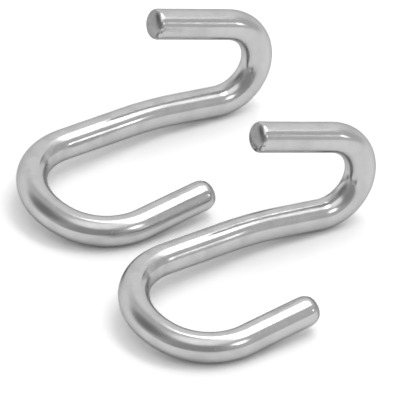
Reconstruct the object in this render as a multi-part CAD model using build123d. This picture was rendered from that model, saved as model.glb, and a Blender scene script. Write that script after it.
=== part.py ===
from build123d import *
import os

# A set of two meat hooks, each bent cold from one length of polished stainless round bar.
# The hooks lie on a table: the wide lower hook lies nearly flat, and the tight upper hook stands
# up, because the bar was rolled between the two bends. Millimetres and degrees, +Z up, and +X
# along the shanks towards the upper hooks. The origin is under the middle of the set.

# ---- bar ----
BAR_DIAMETER = 9.5
RIM_ROUND = 1.7  # edge rounding of both sawn ends

# ---- how the bar sets off from the free end of the upper hook ----
TIP_HEADING = -6.6  # about +Z, from +X towards +Y
TIP_PITCH = -16.2  # the bar comes down from its free end

# ---- bender's sheet, in working order: length, or radius, turn and roll of the bend plane ----
UPPER_TIP_RUN = 27.4
UPPER_BEND_RADIUS = 13.25
UPPER_BEND_TURN = 168.6
UPPER_BEND_ROLL = -2.1  # from hanging straight down
UPPER_SHANK_RUN = 13.7
SHANK_BEND_RADIUS = 96.5  # a slow sweep between the two planes of the hook
SHANK_BEND_TURN = 10.4
SHANK_BEND_ROLL = -98.8
LOWER_SHANK_RUN = 24.4
HEEL_BEND_RADIUS = 24.0  # the lower bend is pulled round in two goes: heel, then toe
HEEL_BEND_TURN = 109.0
TOE_BEND_RADIUS = 20.1
TOE_BEND_TURN = 70.9
TOE_BEND_ROLL = 8.6
LOWER_TIP_RUN = 25.4

# ---- the front hook lies beside the rear one, the same way round ----
PAIR_STEP_X = -8.8
PAIR_STEP_Y = -70.2


class BarBender:
    """Feeds, rolls and bends a bar, and keeps the edges of its centreline."""

    def __init__(self, heading: float, pitch: float):
        along = Vector(1, 0, 0).rotate(Axis.Y, -pitch).rotate(Axis.Z, heading)
        sideways = Vector(0, 1, 0).rotate(Axis.Z, heading)
        # local X runs along the bar, and local Y points to the middle of an unrolled bend
        self.place = Plane(origin=(0, 0, 0), x_dir=along, z_dir=sideways).location
        self.edges = []

    def feed(self, length: float):
        start = self.place.position
        self.place = self.place * Pos(length, 0, 0)
        self.edges.append(Line(start, self.place.position))

    def bend(self, radius: float, turn: float, roll: float = 0.0):
        rolled = self.place * Rot(roll, 0, 0)
        centre = rolled * Pos(0, radius, 0)
        start = rolled.position
        middle = (centre * Rot(0, 0, turn / 2) * Pos(0, -radius, 0)).position
        self.place = centre * Rot(0, 0, turn) * Pos(0, -radius, 0)
        self.edges.append(ThreePointArc(start, middle, self.place.position))


def hook() -> Part:
    """One bent bar, resting on Z = 0, with its free upper end over the origin."""
    bender = BarBender(TIP_HEADING, TIP_PITCH)
    section = Plane(origin=(0, 0, 0), z_dir=bender.place.x_axis.direction) * Circle(BAR_DIAMETER / 2)
    bender.feed(UPPER_TIP_RUN)
    bender.bend(UPPER_BEND_RADIUS, UPPER_BEND_TURN, UPPER_BEND_ROLL)
    bender.feed(UPPER_SHANK_RUN)
    bender.bend(SHANK_BEND_RADIUS, SHANK_BEND_TURN, SHANK_BEND_ROLL)
    bender.feed(LOWER_SHANK_RUN)
    bender.bend(HEEL_BEND_RADIUS, HEEL_BEND_TURN)
    bender.bend(TOE_BEND_RADIUS, TOE_BEND_TURN, TOE_BEND_ROLL)
    bender.feed(LOWER_TIP_RUN)
    bar = sweep(section, path=Wire(bender.edges))
    ends = bar.faces().filter_by(GeomType.PLANE)
    bar = fillet(ends.edges(), RIM_ROUND)
    return Pos(0, 0, -bar.bounding_box().min.Z) * bar


def main():
    rear = hook()
    front = Pos(PAIR_STEP_X, PAIR_STEP_Y, 0) * rear
    middle = Compound([rear, front]).bounding_box().center()
    to_origin = Pos(-middle.X, -middle.Y, 0)
    os.makedirs("parts", exist_ok=True)
    export_step(to_origin * rear, "parts/rear_hook.step")
    export_step(to_origin * front, "parts/front_hook.step")


main()
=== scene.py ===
"""Two polished meat hooks, each bent from one round bar, lying on a pale studio table.

The CAD hooks are the frame. Each is replaced by a smooth skin of the same bar, swept by Geometry
Nodes along the same bends, with rounded ends and the slight waviness of a cold-bent bar.
"""

import logging
import math
from dataclasses import dataclass
from enum import Enum

import bpy
from mathutils import Matrix, Vector


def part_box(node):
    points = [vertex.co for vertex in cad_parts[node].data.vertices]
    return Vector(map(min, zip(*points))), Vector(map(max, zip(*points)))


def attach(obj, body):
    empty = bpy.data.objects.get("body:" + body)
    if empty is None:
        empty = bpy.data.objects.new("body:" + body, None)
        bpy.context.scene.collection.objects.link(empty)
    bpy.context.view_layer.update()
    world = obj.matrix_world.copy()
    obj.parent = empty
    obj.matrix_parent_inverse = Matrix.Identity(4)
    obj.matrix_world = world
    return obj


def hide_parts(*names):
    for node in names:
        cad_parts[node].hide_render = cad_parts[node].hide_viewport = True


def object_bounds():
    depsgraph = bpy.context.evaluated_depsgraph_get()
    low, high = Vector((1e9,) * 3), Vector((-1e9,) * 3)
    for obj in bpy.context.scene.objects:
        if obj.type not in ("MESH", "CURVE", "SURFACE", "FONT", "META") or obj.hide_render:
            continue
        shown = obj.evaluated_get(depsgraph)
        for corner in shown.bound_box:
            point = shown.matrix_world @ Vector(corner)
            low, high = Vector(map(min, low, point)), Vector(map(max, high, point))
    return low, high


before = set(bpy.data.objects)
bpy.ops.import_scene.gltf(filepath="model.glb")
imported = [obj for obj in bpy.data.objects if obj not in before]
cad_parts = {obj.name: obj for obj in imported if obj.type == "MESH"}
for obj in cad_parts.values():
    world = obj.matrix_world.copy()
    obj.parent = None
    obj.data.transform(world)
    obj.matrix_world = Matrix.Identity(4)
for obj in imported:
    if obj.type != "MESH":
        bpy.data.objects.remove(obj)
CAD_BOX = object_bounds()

log = logging.getLogger("meat_hooks")

MM = 0.001
BAR_SPACE = "bar_space"  # the bar's own coordinates, as if it were straight: across, across, along
MERGE_DISTANCE = 1e-6  # metres; closes the rings that shrink to a point at the ends
SHAPE_SAMPLES = 600  # points of the centreline that find a hook's lowest corner
NODE_SPACING = 180  # distance between nodes in the node editor
NOISE_MIDDLE = 0.5  # a noise's middle value


# --------------------------------------------------------------------------------------------
# The bent bar
# --------------------------------------------------------------------------------------------


@dataclass(frozen=True)
class Feed:
    """A straight run of bar.

    Args:
        length: its length in millimetres.
    """

    length: float


@dataclass(frozen=True)
class Bend:
    """A bend round a former.

    Args:
        radius: radius of the bar's centreline in millimetres.
        turn: how far the bar is pulled round, in degrees.
        roll: how far the bar is rolled in the bender first, in degrees.
    """

    radius: float
    turn: float
    roll: float = 0.0


@dataclass(frozen=True)
class HookShape:
    """The bender's sheet of one hook, from the free end of its upper hook.

    Args:
        bar_radius: radius of the round bar in millimetres.
        heading: direction of the first run about +Z, in degrees from +X.
        pitch: climb of the first run in degrees.
        steps: feeds and bends in working order.
    """

    bar_radius: float = 4.75
    heading: float = -6.6
    pitch: float = -16.2
    steps: tuple[Feed | Bend, ...] = (
        Feed(27.4),
        Bend(13.25, 168.6, roll=-2.1),
        Feed(13.7),
        Bend(96.5, 10.4, roll=-98.8),
        Feed(24.4),
        Bend(24.0, 109.0),
        Bend(20.1, 70.9, roll=8.6),
        Feed(25.4),
    )

    def length(self) -> float:
        """Returns the length of bar in the hook, in millimetres."""
        return sum(self._step_length(step) for step in self.steps)

    def point(self, along: float) -> Vector:
        """Finds a point of the centreline.

        Args:
            along: distance from the free upper end, in millimetres.

        Returns:
            The point in millimetres, counted from the middle of that end.
        """
        place = self._first_place()
        for step in self.steps:
            share = min(along, self._step_length(step))
            place = self._advance(place, step, share)
            along -= share
            if along <= 0:
                break
        return place.translation.copy()

    def _first_place(self) -> Matrix:
        """Places the bar at its free upper end.

        Returns:
            The bar's first frame: X along the bar, Y to the middle of an unrolled bend.
        """
        turn = Matrix.Rotation(math.radians(self.heading), 4, "Z")
        climb = Matrix.Rotation(math.radians(-self.pitch), 4, "Y")
        upright = Matrix.Rotation(math.radians(-90), 4, "X")
        return turn @ climb @ upright

    @staticmethod
    def _step_length(step: Feed | Bend) -> float:
        """Measures a step.

        Args:
            step: the feed or bend.

        Returns:
            The length of bar that it uses, in millimetres.
        """
        if isinstance(step, Feed):
            return step.length
        return step.radius * math.radians(step.turn)

    @staticmethod
    def _advance(place: Matrix, step: Feed | Bend, distance: float) -> Matrix:
        """Moves the bar's frame some way through a step.

        Args:
            place: frame at the start of the step.
            step: the feed or bend.
            distance: how far into the step, in millimetres of bar.

        Returns:
            The frame there.
        """
        if isinstance(step, Feed):
            return place @ Matrix.Translation((distance, 0, 0))
        rolled = place @ Matrix.Rotation(math.radians(step.roll), 4, "X")
        pulled = Matrix.Rotation(distance / step.radius, 4, "Z")
        to_middle = Matrix.Translation((0, step.radius, 0))
        return rolled @ to_middle @ pulled @ to_middle.inverted()


@dataclass(frozen=True)
class EndShape:
    """The rounded ends of the bar: a flat face that rolls over into the side.

    Args:
        upper_reach: how far the rounding runs along the bar at the upper hook, in millimetres.
        lower_reach: the same at the lower hook.
        flatness: power of the face's side; higher is flatter.
        blend: power of the bar's side; higher leaves it later.
        face: share of the rounding, counted from the tip, that takes the darker end steel, a painted
            dark reflection.
        rings: rings of mesh over the rounding.
    """

    upper_reach: float = 2.2
    lower_reach: float = 4.2
    flatness: float = 3.6
    blend: float = 2.0
    face: float = 0.5
    rings: int = 24

    def ring_distances(self, reach: float) -> list[float]:
        """Spaces the rings over a rounding, close where it turns quickly.

        Args:
            reach: how far the rounding runs along the bar, in millimetres.

        Returns:
            The rings' distances from the end, in millimetres.
        """
        distances = []
        for ring in range(self.rings + 1):
            width = math.sin(math.pi / 2 * ring / self.rings)
            rise = (1 - width**self.flatness) ** (1 / self.blend)
            distances.append(reach * (1 - rise))
        return distances


def make_rail(
    name: str, shape: HookShape, end: EndShape, spacing: float, offset: Vector
) -> bpy.types.Object:
    """Makes the centreline of a hook as a poly curve.

    Args:
        name: name of the object.
        shape: the hook's bends.
        end: rounding of both ends, which needs close rings.
        spacing: distance between points elsewhere, in millimetres.
        offset: place of the first end, in metres.

    Returns:
        The curve object, in metres.
    """
    total = shape.length()
    upper, lower = end.ring_distances(end.upper_reach), end.ring_distances(end.lower_reach)
    between = total - end.upper_reach - end.lower_reach
    count = round(between / spacing)
    middle = [end.upper_reach + between * i / count for i in range(1, count)]
    stations = upper + middle + [total - distance for distance in reversed(lower)]
    curve = bpy.data.curves.new(name, "CURVE")
    curve.dimensions = "3D"
    spline = curve.splines.new("POLY")
    spline.points.add(len(stations) - 1)
    for point, along in zip(spline.points, stations):
        point.co = (*(shape.point(along) * MM + offset), 1)
    rail = bpy.data.objects.new(name, curve)
    bpy.context.scene.collection.objects.link(rail)
    return rail


# --------------------------------------------------------------------------------------------
# Geometry Nodes: the skin of a bar
# --------------------------------------------------------------------------------------------


class NodeBench:
    """Adds and links nodes in one tree, left to right."""

    def __init__(self, tree: bpy.types.NodeTree) -> None:
        """Keeps the tree and starts at its left edge."""
        self.tree = tree
        self.column = 0

    def add(self, kind: str, links: dict | None = None, **settings: object) -> bpy.types.Node:
        """Adds a node.

        Args:
            kind: the node's type.
            links: input name or index to a socket that feeds it, or to a plain value.
            settings: properties to set on the node first.

        Returns:
            The new node.
        """
        node = self.tree.nodes.new(kind)
        node.location = (self.column * NODE_SPACING, 0)
        self.column += 1
        for name, value in settings.items():
            setattr(node, name, value)
        for key, value in (links or {}).items():
            if isinstance(value, bpy.types.NodeSocket):
                self.tree.links.new(value, node.inputs[key])
            else:
                node.inputs[key].default_value = value
        return node

    def math(self, operation: str, *values: object, clamp: bool = False) -> bpy.types.NodeSocket:
        """Adds a math node and returns its output."""
        node = self.add("ShaderNodeMath", dict(enumerate(values)), operation=operation, use_clamp=clamp)
        return node.outputs[0]


class BarSkin:
    """The node tree that turns a centreline into the skin of a round bar."""

    LENGTHS_AND_SHARES = (
        "Bar Radius",
        "Upper Reach",
        "Lower Reach",
        "End Flatness",
        "End Blend",
        "Painted Dark Share",
        "Waviness",
        "Wave Length",
    )
    # The end material is a darker steel that paints a dark reflection on the ends.
    MATERIAL_SOCKETS = ("Bar Finish", "End Painted Dark")
    WAVE_DETAIL = 1.0

    def __init__(self) -> None:
        """Builds the tree once; every hook uses it with its own inputs."""
        self.tree = bpy.data.node_groups.new("Round bar skin", "GeometryNodeTree")
        self._sockets()
        self._nodes()

    def _sockets(self) -> None:
        new = self.tree.interface.new_socket
        new("Centreline", in_out="INPUT", socket_type="NodeSocketGeometry")
        for name in self.LENGTHS_AND_SHARES:
            new(name, in_out="INPUT", socket_type="NodeSocketFloat")
        new("Steps Around", in_out="INPUT", socket_type="NodeSocketInt")
        for name in self.MATERIAL_SOCKETS:
            new(name, in_out="INPUT", socket_type="NodeSocketMaterial")
        new("Skin", in_out="OUTPUT", socket_type="NodeSocketGeometry")

    def _nodes(self) -> None:
        """Lays the tree out: radius along the rail, sweep, waves, finishes."""
        bench = NodeBench(self.tree)
        given = bench.add("NodeGroupInput").outputs
        along = bench.add("GeometryNodeSplineParameter").outputs["Length"]
        total = bench.add("GeometryNodeSplineLength").outputs["Length"]
        from_lower = bench.math("SUBTRACT", total, along)
        depth = bench.math(
            "MINIMUM",
            bench.math("DIVIDE", along, given["Upper Reach"]),
            bench.math("DIVIDE", from_lower, given["Lower Reach"]),
        )
        inward = bench.math("SUBTRACT", 1.0, depth, clamp=True)
        left = bench.math("SUBTRACT", 1.0, bench.math("POWER", inward, given["End Blend"]), clamp=True)
        share = bench.math("POWER", left, bench.math("DIVIDE", 1.0, given["End Flatness"]))
        radius = bench.math("MULTIPLY", share, given["Bar Radius"])
        rail = bench.add(
            "GeometryNodeCaptureAttribute", {"Geometry": given["Centreline"]}, domain="POINT"
        )
        rail.capture_items.new("FLOAT", "Along")
        rail.capture_items.new("FLOAT", "End")
        self.tree.links.new(along, rail.inputs["Along"])
        self.tree.links.new(depth, rail.inputs["End"])
        circle = bench.add("GeometryNodeCurvePrimitiveCircle", {
            "Resolution": given["Steps Around"],
            "Radius": 1.0,
        })
        place = bench.add("GeometryNodeInputPosition").outputs[0]
        profile = bench.add(
            "GeometryNodeCaptureAttribute", {"Geometry": circle.outputs[0]}, domain="POINT"
        )
        profile.capture_items.new("VECTOR", "Round")
        self.tree.links.new(place, profile.inputs["Round"])
        sweep = bench.add("GeometryNodeCurveToMesh", {
            "Curve": rail.outputs["Geometry"],
            "Profile Curve": profile.outputs["Geometry"],
            "Scale": radius,
            "Fill Caps": False,
        })
        closed = bench.add("GeometryNodeMergeByDistance", {
            "Geometry": sweep.outputs[0],
            "Distance": MERGE_DISTANCE,
        })
        stored = self._store_bar_space(bench, closed.outputs[0], rail, profile, given["Bar Radius"])
        waved = self._wave(bench, stored, given["Waviness"], given["Wave Length"])
        smooth = bench.add("GeometryNodeSetShadeSmooth", {"Geometry": waved, "Shade Smooth": True})
        whole = bench.add("GeometryNodeRealizeInstances", {"Geometry": smooth.outputs[0]})
        barred = bench.add("GeometryNodeSetMaterial", {
            "Geometry": whole.outputs[0],
            "Material": given["Bar Finish"],
        })
        # Near the tips the darker end steel goes on: a painted dark reflection on the end faces.
        at_end = bench.add("FunctionNodeCompare", {
            "A": rail.outputs["End"],
            "B": given["Painted Dark Share"],
        }, data_type="FLOAT", operation="LESS_THAN")
        faced = bench.add("GeometryNodeSetMaterial", {
            "Geometry": barred.outputs[0],
            "Selection": at_end.outputs[0],
            "Material": given["End Painted Dark"],
        })
        bench.add("NodeGroupOutput", {"Skin": faced.outputs[0]})

    @staticmethod
    def _store_bar_space(
        bench: NodeBench,
        mesh: bpy.types.NodeSocket,
        rail: bpy.types.Node,
        profile: bpy.types.Node,
        radius: bpy.types.NodeSocket,
    ) -> bpy.types.NodeSocket:
        """Stores each point's place in the bar's own coordinates, at the full radius even on the ends.

        Args:
            bench: the tree's bench.
            mesh: the swept skin.
            rail: capture node of the centreline.
            profile: capture node of the circle.
            radius: the bar's radius.

        Returns:
            The skin with the attribute.
        """
        round_it = bench.add("ShaderNodeVectorMath", {0: profile.outputs["Round"]}, operation="SCALE")
        bench.tree.links.new(radius, round_it.inputs["Scale"])
        parts = bench.add("ShaderNodeSeparateXYZ", {0: round_it.outputs[0]})
        joined = bench.add("ShaderNodeCombineXYZ", {
            "X": parts.outputs["X"],
            "Y": parts.outputs["Y"],
            "Z": rail.outputs["Along"],
        })
        stored = bench.add("GeometryNodeStoreNamedAttribute", {
            "Geometry": mesh,
            "Name": BAR_SPACE,
            "Value": joined.outputs[0],
        }, data_type="FLOAT_VECTOR", domain="POINT")
        return stored.outputs[0]

    @classmethod
    def _wave(
        cls,
        bench: NodeBench,
        mesh: bpy.types.NodeSocket,
        height: bpy.types.NodeSocket,
        length: bpy.types.NodeSocket,
    ) -> bpy.types.NodeSocket:
        """Moves the skin in and out by a slow noise that is the same each run.

        Args:
            bench: the tree's bench.
            mesh: the skin.
            height: how far from crest to hollow.
            length: distance between waves.

        Returns:
            The waved skin.
        """
        named = bench.add(
            "GeometryNodeInputNamedAttribute", {"Name": BAR_SPACE}, data_type="FLOAT_VECTOR"
        )
        scale = bench.math("DIVIDE", 1.0, length)
        noise = bench.add("ShaderNodeTexNoise", {
            "Vector": named.outputs[0],
            "Scale": scale,
            "Detail": cls.WAVE_DETAIL,
        })
        centred = bench.math("SUBTRACT", noise.outputs[0], NOISE_MIDDLE)
        swing = bench.math("MULTIPLY", centred, height)
        normal = bench.add("GeometryNodeInputNormal").outputs[0]
        push = bench.add("ShaderNodeVectorMath", {0: normal}, operation="SCALE")
        bench.tree.links.new(swing, push.inputs["Scale"])
        moved = bench.add("GeometryNodeSetPosition", {"Geometry": mesh, "Offset": push.outputs[0]})
        return moved.outputs[0]

    def apply(self, rail: bpy.types.Object, name: str, values: dict[str, object]) -> bpy.types.Object:
        """Skins a centreline.

        Args:
            rail: the centreline, which is used up.
            name: name of the skin.
            values: the tree's inputs by name.

        Returns:
            The skin as a plain mesh object.
        """
        modifier = rail.modifiers.new("skin", "NODES")
        modifier.node_group = self.tree
        for item in self.tree.interface.items_tree:
            if item.item_type == "SOCKET" and item.in_out == "INPUT" and item.name in values:
                modifier[item.identifier] = values[item.name]
        evaluated = rail.evaluated_get(bpy.context.evaluated_depsgraph_get())
        mesh = bpy.data.meshes.new_from_object(evaluated)
        mesh.name = name
        curve = rail.data
        bpy.data.objects.remove(rail)
        bpy.data.curves.remove(curve)
        skin = bpy.data.objects.new(name, mesh)
        bpy.context.scene.collection.objects.link(skin)
        return skin


# --------------------------------------------------------------------------------------------
# Finishes
# --------------------------------------------------------------------------------------------


def shader_group(name: str, inputs: dict[str, float], outputs: tuple[str, ...]) -> bpy.types.NodeTree:
    """Starts a shader node group with a bar-space vector and named numbers.

    Args:
        name: name of the group.
        inputs: the numbers and their defaults.
        outputs: names of the values that it puts out.

    Returns:
        The empty group.
    """
    tree = bpy.data.node_groups.new(name, "ShaderNodeTree")
    tree.interface.new_socket("Bar Space", in_out="INPUT", socket_type="NodeSocketVector")
    for label, default in inputs.items():
        socket = tree.interface.new_socket(label, in_out="INPUT", socket_type="NodeSocketFloat")
        socket.default_value = default
    for label in outputs:
        tree.interface.new_socket(label, in_out="OUTPUT", socket_type="NodeSocketFloat")
    return tree


def stretched(
    bench: NodeBench, vector: bpy.types.NodeSocket, across: object, along: object
) -> bpy.types.NodeSocket:
    """Scales bar space across and along the bar.

    Args:
        bench: the tree's bench.
        vector: bar space.
        across: scale over both cross directions.
        along: scale along the bar.

    Returns:
        The scaled vector.
    """
    scale = bench.add("ShaderNodeCombineXYZ", {"X": across, "Y": across, "Z": along}).outputs[0]
    return bench.add("ShaderNodeVectorMath", {0: vector, 1: scale}, operation="MULTIPLY").outputs[0]


class Lay(Enum):
    """Which way the polishing lines run: their scale across the bar and along it."""

    ALONG_BAR = (5200.0, 60.0)
    OVER_END = (900.0, 4200.0)


class SurfaceEffects:
    """Shader groups that both finishes share, built once."""

    FINE_SHARE = 0.6  # how much of the polishing lines' height is the fine lines
    WIDE_SHARE = 0.4
    WIDE_SCALE = 0.12  # the wide lines' scale, against the fine ones
    LINE_BAND = (0.35, 0.65)  # heights between which the lines' mask runs from 0 to 1
    SMEAR_BAND = (0.42, 0.7)
    SCRATCH_STRETCH = (1.0, 1.0, 0.35)  # scratches run longer along the bar
    SWIRL_SCALE = 240.0
    SWIRL = 0.0012  # metres that a scratch strays sideways
    SCRATCH_WIDTH = 0.03
    SCRATCHED_SCALE = 420.0  # scale of the patches that hold scratches
    SCRATCHED_BAND = (0.58, 0.68)
    SCRATCH_ROUGHNESS = 2  # roughness that a scratch adds, against a polishing line

    def __init__(self) -> None:
        """Builds the groups."""
        self.lines = self._lines()
        self.handling = self._handling()

    @staticmethod
    def _noise(
        bench: NodeBench,
        vector: bpy.types.NodeSocket,
        scale: object,
        detail: float,
        roughness: float = 0.5,
    ) -> bpy.types.Node:
        """Adds a noise texture.

        Args:
            bench: the tree's bench.
            vector: where it is read.
            scale: its scale.
            detail: how many finer layers it has.
            roughness: how strong the finer layers are.

        Returns:
            The texture node.
        """
        return bench.add("ShaderNodeTexNoise", {
            "Vector": vector,
            "Scale": scale,
            "Detail": detail,
            "Roughness": roughness,
        })

    @staticmethod
    def _band(
        bench: NodeBench, value: bpy.types.NodeSocket, band: tuple[float, float]
    ) -> bpy.types.NodeSocket:
        """Turns a value into a mask.

        Args:
            bench: the tree's bench.
            value: the value.
            band: where the mask starts to rise, and where it is full.

        Returns:
            The mask, from 0 to 1.
        """
        low, high = band
        mask = bench.add("ShaderNodeMapRange", {"Value": value, "From Min": low, "From Max": high})
        return mask.outputs[0]

    @classmethod
    def _lines(cls) -> bpy.types.NodeTree:
        """Makes fine lines left by drawing and polishing, long in one direction.

        Returns:
            A group whose Height and Mask run from 0 to 1.
        """
        across, along = Lay.ALONG_BAR.value
        tree = shader_group("Polishing lines", {"Across": across, "Along": along}, ("Height", "Mask"))
        bench = NodeBench(tree)
        given = bench.add("NodeGroupInput").outputs
        vector = stretched(bench, given["Bar Space"], given["Across"], given["Along"])
        fine = cls._noise(bench, vector, scale=1.0, detail=3.0, roughness=0.6)
        wide = cls._noise(bench, vector, scale=cls.WIDE_SCALE, detail=2.0)
        height = bench.math(
            "ADD",
            bench.math("MULTIPLY", fine.outputs[0], cls.FINE_SHARE),
            bench.math("MULTIPLY", wide.outputs[0], cls.WIDE_SHARE),
        )
        mask = cls._band(bench, height, cls.LINE_BAND)
        bench.add("NodeGroupOutput", {"Height": height, "Mask": mask})
        return tree

    @classmethod
    def _handling(cls) -> bpy.types.NodeTree:
        """Makes cloudy smears and sparse short scratches from handling.

        Returns:
            A group whose Smears and Scratches run from 0 to 1.
        """
        scales = {"Patch": 160.0, "Scratch": 900.0}
        tree = shader_group("Handling marks", scales, ("Smears", "Scratches"))
        bench = NodeBench(tree)
        given = bench.add("NodeGroupInput").outputs
        space = given["Bar Space"]
        cloud = cls._noise(bench, space, scale=given["Patch"], detail=4.0)
        smears = cls._band(bench, cloud.outputs[0], cls.SMEAR_BAND)
        bent = cls._noise(bench, space, scale=cls.SWIRL_SCALE, detail=1.0)
        swirl = bench.add(
            "ShaderNodeVectorMath", {0: bent.outputs["Color"], "Scale": cls.SWIRL}, operation="SCALE"
        )
        strayed = bench.add(
            "ShaderNodeVectorMath",
            {0: space, 1: cls.SCRATCH_STRETCH, 2: swirl.outputs[0]},
            operation="MULTIPLY_ADD",
        )
        cells = bench.add(
            "ShaderNodeTexVoronoi",
            {"Vector": strayed.outputs[0], "Scale": given["Scratch"]},
            feature="DISTANCE_TO_EDGE",
        )
        thin = bench.add("ShaderNodeMapRange", {
            "Value": cells.outputs["Distance"],
            "From Min": 0.0,
            "From Max": cls.SCRATCH_WIDTH,
            "To Min": 1.0,
            "To Max": 0.0,
        })
        where = cls._noise(bench, space, scale=cls.SCRATCHED_SCALE, detail=2.0)
        some = cls._band(bench, where.outputs[0], cls.SCRATCHED_BAND)
        scratches = bench.math("MULTIPLY", thin.outputs[0], some)
        bench.add("NodeGroupOutput", {"Smears": smears, "Scratches": scratches})
        return tree


@dataclass(frozen=True)
class PolishedSteel:
    """A polished stainless finish.

    Args:
        name: name of the material.
        lay: which way its polishing lines run.
        clean: grey of the clean metal, linear.
        smeared: grey of the metal under smears, linear.
        roughness: roughness of the clean metal.
        smear_roughness: roughness added by smears.
        line_roughness: roughness added by polishing lines.
        rim: share of the usual brightening that is left where the surface turns away.
        line_depth: bump of the polishing lines in metres.
        scratch_depth: bump of the scratches in metres.
    """

    name: str
    lay: Lay
    clean: float
    smeared: float
    roughness: float
    smear_roughness: float
    line_roughness: float
    rim: float
    line_depth: float
    scratch_depth: float

    def build(self, effects: SurfaceEffects) -> bpy.types.Material:
        """Builds the material.

        Args:
            effects: the shared shader groups.

        Returns:
            The material.
        """
        material = bpy.data.materials.new(self.name)
        material.use_nodes = True
        material.node_tree.nodes.clear()
        bench = NodeBench(material.node_tree)
        space = bench.add("ShaderNodeAttribute", attribute_name=BAR_SPACE).outputs["Vector"]
        across, along = self.lay.value
        lines = bench.add("ShaderNodeGroup", node_tree=effects.lines)
        handling = bench.add("ShaderNodeGroup", node_tree=effects.handling)
        for group in (lines, handling):
            material.node_tree.links.new(space, group.inputs["Bar Space"])
        lines.inputs["Across"].default_value = across
        lines.inputs["Along"].default_value = along
        grey = bench.add("ShaderNodeMix", {
            "Factor": handling.outputs["Smears"],
            "A": (self.clean,) * 3 + (1,),
            "B": (self.smeared,) * 3 + (1,),
        }, data_type="RGBA")
        smear = bench.math("MULTIPLY", handling.outputs["Smears"], self.smear_roughness)
        line = bench.math("MULTIPLY", lines.outputs["Mask"], self.line_roughness)
        scratch_roughness = self.line_roughness * effects.SCRATCH_ROUGHNESS
        scratched = bench.math("MULTIPLY", handling.outputs["Scratches"], scratch_roughness)
        marks = bench.math("ADD", bench.math("ADD", smear, line), scratched)
        rough = bench.math("ADD", marks, self.roughness)
        height = bench.math(
            "SUBTRACT",
            bench.math("MULTIPLY", lines.outputs["Height"], self.line_depth),
            bench.math("MULTIPLY", handling.outputs["Scratches"], self.scratch_depth),
        )
        bump = bench.add("ShaderNodeBump", {"Height": height, "Distance": 1.0, "Strength": 1.0})
        shader = bench.add("ShaderNodeBsdfPrincipled", {
            "Base Color": grey.outputs[2],
            "Metallic": 1.0,
            "Roughness": rough,
            "Specular Tint": (self.rim,) * 3 + (1,),
            "Normal": bump.outputs[0],
        })
        bench.add("ShaderNodeOutputMaterial", {"Surface": shader.outputs[0]})
        return material


# --------------------------------------------------------------------------------------------
# The hooks
# --------------------------------------------------------------------------------------------


@dataclass
class MeatHook:
    """One hook of the set.

    Args:
        node: CAD node that it stands for.
        body: CAD body that it rides on.
        slot: material slot of the record; not used.
        shape: its bends.
        end: rounding of its ends.
        spacing: distance between mesh rings, in millimetres.
        steps_around: mesh steps round the bar.
        waviness: crest to hollow of the skin, in millimetres.
        wave_length: distance between waves, in millimetres.
    """

    node: str
    body: str
    slot: str = "polished_stainless"
    shape: HookShape = HookShape()
    end: EndShape = EndShape()
    spacing: float = 0.7
    steps_around: int = 96
    waviness: float = 0.03
    wave_length: float = 12.0

    def build(self, skin: BarSkin, bar: bpy.types.Material, painted_dark_end: bpy.types.Material) -> bpy.types.Object:
        """Builds the hook over its CAD node.

        Args:
            skin: the node tree of the bar.
            bar: finish of the bar's side.
            painted_dark_end: darker steel of the end faces, a painted dark reflection.

        Returns:
            The finished piece.
        """
        rail = make_rail(f"{self.node}_rail", self.shape, self.end, self.spacing, self._offset())
        piece = skin.apply(rail, f"{self.node}_bar", {
            "Bar Radius": self.shape.bar_radius * MM,
            "Upper Reach": self.end.upper_reach * MM,
            "Lower Reach": self.end.lower_reach * MM,
            "End Flatness": self.end.flatness,
            "End Blend": self.end.blend,
            "Painted Dark Share": self.end.face,
            "Waviness": self.waviness * MM,
            "Wave Length": self.wave_length * MM,
            "Steps Around": self.steps_around,
            "Bar Finish": bar,
            "End Painted Dark": painted_dark_end,
        })
        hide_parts(self.node)
        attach(piece, self.body)
        log.info("%s: %d faces", piece.name, len(piece.data.polygons))
        return piece

    def _offset(self) -> Vector:
        """Lines the hook up with the lowest corner of its CAD node.

        Returns:
            The place of the free upper end, in metres.
        """
        low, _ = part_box(self.node)
        step = self.shape.length() / SHAPE_SAMPLES
        samples = [self.shape.point(step * i) for i in range(SHAPE_SAMPLES + 1)]
        reach = self.shape.bar_radius
        own_low = Vector([min(place[axis] for place in samples) - reach for axis in range(3)])
        return low - own_low * MM


# --------------------------------------------------------------------------------------------
# Studio
# --------------------------------------------------------------------------------------------


@dataclass(frozen=True)
class Lobe:
    """A soft patch of the studio's surroundings.

    Args:
        azimuth: direction in degrees, clockwise from straight away from the camera.
        elevation: height above the table in degrees.
        inner: half-width of its even middle, in degrees.
        outer: half-width where it has faded out, in degrees.
        radiance: brightness of the middle.
    """

    azimuth: float
    elevation: float
    inner: float
    outer: float
    radiance: float


@dataclass(frozen=True)
class SoftBox:
    """A lamp with an even rectangular or round face, aimed at the hooks.

    Args:
        name: name of the lamp.
        azimuth: direction in degrees, clockwise from straight away from the camera.
        elevation: height above the table in degrees.
        distance: distance from the hooks in metres.
        size: width and height of its face in metres; equal sizes make a round one.
        roll: turn of the face about its aim, in degrees.
        radiance: brightness of its face.
        on_table: whether it lights the table too, and not only the steel.
    """

    name: str
    azimuth: float
    elevation: float
    distance: float
    size: tuple[float, float]
    roll: float
    radiance: float
    on_table: bool = False


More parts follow.
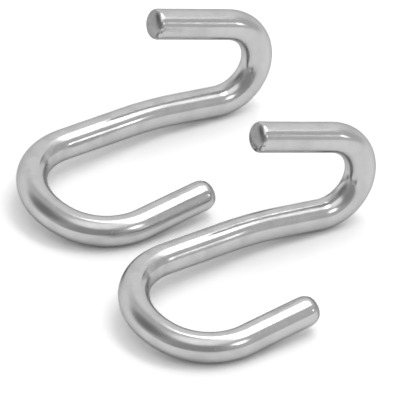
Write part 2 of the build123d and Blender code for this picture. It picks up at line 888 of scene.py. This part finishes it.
@dataclass
class Studio:
    """Camera, table, lamps and surroundings.

    Args:
        azimuth: camera's turn about the hooks, in degrees; 0 looks along +Y.
        elevation: camera's height above the table, in degrees.
        lens: focal length in millimetres; long, so that the two hooks look the same size.
        width: width of the view at the hooks, in metres.
        aim_right: how far the view's middle is to the right of the box's middle, in metres.
        aim_up: how far it is above, in metres.
        clip: nearest and farthest distance that the camera draws, in metres.
        table_radius: radius of the table top in metres.
        table_corners: corners of the table's disc.
        table_grey: how pale the table is to the steel and the lamps, linear.
        table_grey_seen: how pale it is to the camera, linear.
        backdrop: brightness of the surroundings to the camera.
        surroundings: brightness of the surroundings between the patches.
        lobes: soft patches of the surroundings, each laid over those before it.
        lamps: the soft lamps.
    """

    azimuth: float = -33.26
    elevation: float = 33.0
    lens: float = 1400.0
    width: float = 0.12064
    aim_right: float = -0.005405
    aim_up: float = -0.007516
    clip: tuple[float, float] = (0.1, 60.0)
    table_radius: float = 30.0
    table_corners: int = 128
    table_grey: float = 1.08
    table_grey_seen: float = 1.27
    backdrop: float = 1.0
    surroundings: float = 0.78
    lobes: tuple[Lobe, ...] = (
        Lobe(5, 15, 25, 75, 0.92),
        Lobe(-60, 5, 8, 36, 0.93),
        Lobe(180, 8, 30, 78, 0.36),
        Lobe(110, 15, 20, 60, 0.60),
        Lobe(-60, 62, 12, 34, 0.62),
        Lobe(-98, 34, 8, 36, 0.24),
        Lobe(180, 70, 8, 30, 1.25),
    )
    lamps: tuple[SoftBox, ...] = (
        SoftBox("rear_softbox", 60, 52.5, 1.2, (0.80, 0.16), 14, 3.2),
        SoftBox("top_softbox", 67, 71, 1.2, (1.0, 0.34), 16, 3.2, on_table=True),
        SoftBox("side_lamp", 136, 32, 1.2, (0.33, 0.33), 0, 2.6),
        SoftBox("slot_lamp", 103.5, 17.5, 1.2, (0.07, 0.19), 0, 6.0),
    )

    def build(self) -> None:
        """Builds the camera, table, lamps and surroundings."""
        self._camera()
        self._table()
        self._world()
        for lamp in self.lamps:
            self._lamp(lamp)
        view = bpy.context.scene.view_settings
        view.view_transform = "Standard"
        view.look = "None"

    def direction(self, azimuth: float, elevation: float) -> Vector:
        """Turns a studio direction into the hooks' frame.

        Args:
            azimuth: degrees clockwise from straight away from the camera.
            elevation: degrees above the table.

        Returns:
            The unit vector.
        """
        turn, rise = math.radians(self.azimuth - azimuth), math.radians(elevation)
        level = math.cos(rise)
        return Vector((-math.sin(turn) * level, math.cos(turn) * level, math.sin(rise)))

    def _camera(self) -> None:
        """Makes the camera, far off with a long lens."""
        data = bpy.data.cameras.new("camera")
        data.lens = self.lens
        camera = bpy.data.objects.new("camera", data)
        bpy.context.scene.collection.objects.link(camera)
        back = self.direction(180, self.elevation)
        turn = (-back).to_track_quat("-Z", "Y")
        low, high = CAD_BOX
        aim = (low + high) / 2 + turn @ Vector((self.aim_right, self.aim_up, 0))
        distance = self.width / data.sensor_width * self.lens
        camera.rotation_mode = "QUATERNION"
        camera.rotation_quaternion = turn
        camera.location = aim + back * distance
        data.clip_start, data.clip_end = self.clip
        bpy.context.scene.camera = camera

    def _table(self) -> None:
        """Makes the pale table top, a wide disc."""
        data = bpy.data.meshes.new("table")
        turns = [2 * math.pi * i / self.table_corners for i in range(self.table_corners)]
        rim = [(self.table_radius * math.cos(t), self.table_radius * math.sin(t), 0) for t in turns]
        data.from_pydata(rim, [], [tuple(range(self.table_corners))])
        table = bpy.data.objects.new("table", data)
        bpy.context.scene.collection.objects.link(table)
        table.location.z = CAD_BOX[0].z
        material = bpy.data.materials.new("pale_table")
        material.use_nodes = True
        material.node_tree.nodes.clear()
        bench = NodeBench(material.node_tree)
        rays = bench.add("ShaderNodeLightPath").outputs["Is Camera Ray"]
        white = bench.add(
            "ShaderNodeMix",
            {"Factor": rays, "A": self.table_grey, "B": self.table_grey_seen},
            data_type="FLOAT",
        )
        paper = bench.add("ShaderNodeBsdfDiffuse", {"Color": white.outputs[0]})
        bench.add("ShaderNodeOutputMaterial", {"Surface": paper.outputs[0]})
        data.materials.append(material)

    def _world(self) -> None:
        """Makes the surroundings: even grey with soft lighter and darker patches."""
        world = bpy.data.worlds.new("studio")
        bpy.context.scene.world = world
        world.use_nodes = True
        world.node_tree.nodes.clear()
        bench = NodeBench(world.node_tree)
        looking = bench.add("ShaderNodeTexCoord").outputs["Generated"]
        value = self.surroundings
        for lobe in self.lobes:
            value = self._add_lobe(bench, looking, value, lobe)
        seen = bench.add("ShaderNodeBackground", {"Color": (self.backdrop,) * 3 + (1,)})
        around = bench.add("ShaderNodeBackground", {"Color": value})
        rays = bench.add("ShaderNodeLightPath").outputs["Is Camera Ray"]
        mixed = bench.add("ShaderNodeMixShader", {0: rays, 1: around.outputs[0], 2: seen.outputs[0]})
        bench.add("ShaderNodeOutputWorld", {"Surface": mixed.outputs[0]})

    def _add_lobe(
        self, bench: NodeBench, looking: bpy.types.NodeSocket, under: object, lobe: Lobe
    ) -> bpy.types.NodeSocket:
        """Lays one patch over the surroundings so far.

        Args:
            bench: the world's bench.
            looking: direction of the ray.
            under: brightness so far.
            lobe: the patch.

        Returns:
            The new brightness.
        """
        toward = self.direction(lobe.azimuth, lobe.elevation)
        dot = bench.add("ShaderNodeVectorMath", {0: looking, 1: toward}, operation="DOT_PRODUCT")
        cover = bench.add("ShaderNodeMapRange", {
            "Value": dot.outputs["Value"],
            "From Min": math.cos(math.radians(lobe.outer)),
            "From Max": math.cos(math.radians(lobe.inner)),
        }, interpolation_type="SMOOTHSTEP")
        mix = bench.add(
            "ShaderNodeMix",
            {"Factor": cover.outputs[0], "A": under, "B": lobe.radiance},
            data_type="FLOAT",
        )
        return mix.outputs[0]

    def _lamp(self, lamp: SoftBox) -> None:
        """Makes one soft lamp, unseen by the camera itself.

        Args:
            lamp: the lamp's sizes.
        """
        data = bpy.data.lights.new(lamp.name, "AREA")
        width, height = lamp.size
        data.shape = "DISK" if width == height else "RECTANGLE"
        data.size, data.size_y = width, height
        area = width * height * (math.pi / 4 if width == height else 1)
        data.energy = lamp.radiance * area * math.pi
        lamp_object = bpy.data.objects.new(lamp.name, data)
        bpy.context.scene.collection.objects.link(lamp_object)
        back = self.direction(lamp.azimuth, lamp.elevation)
        low, high = CAD_BOX
        lamp_object.location = (low + high) / 2 + back * lamp.distance
        aim = (-back).to_track_quat("-Z", "Y")
        roll = Matrix.Rotation(math.radians(lamp.roll), 3, "Z").to_quaternion()
        lamp_object.rotation_mode = "QUATERNION"
        lamp_object.rotation_quaternion = aim @ roll
        lamp_object.visible_camera = False
        lamp_object.visible_diffuse = lamp.on_table


POLISHED_BAR = PolishedSteel(
    name="polished_bar",
    lay=Lay.ALONG_BAR,
    clean=0.60,
    smeared=0.52,
    roughness=0.14,
    smear_roughness=0.06,
    line_roughness=0.06,
    rim=0.6,
    line_depth=2.0e-7,
    scratch_depth=1.0e-6,
)
# The ends' steel is darker than the bar's. Its lower grey is a painted dark reflection on the end faces;
# its rougher lines laid over the end are real finish.
POLISHED_END_PAINTED_DARK = PolishedSteel(
    name="polished_end_painted_dark",
    lay=Lay.OVER_END,
    clean=0.38,
    smeared=0.30,
    roughness=0.18,
    smear_roughness=0.06,
    line_roughness=0.08,
    rim=0.6,
    line_depth=6.0e-7,
    scratch_depth=1.5e-6,
)


def main() -> None:
    """Builds the studio and both hooks in order."""
    logging.basicConfig(level=logging.INFO, format="%(name)s: %(message)s")
    Studio().build()
    effects = SurfaceEffects()
    bar = POLISHED_BAR.build(effects)
    # The ends get the darker steel, a painted dark reflection.
    painted_dark_end = POLISHED_END_PAINTED_DARK.build(effects)
    skin = BarSkin()
    for hook in (MeatHook(node="rear_hook", body="rear"), MeatHook(node="front_hook", body="front")):
        hook.build(skin, bar, painted_dark_end)


if __name__ == "__main__":
    main()
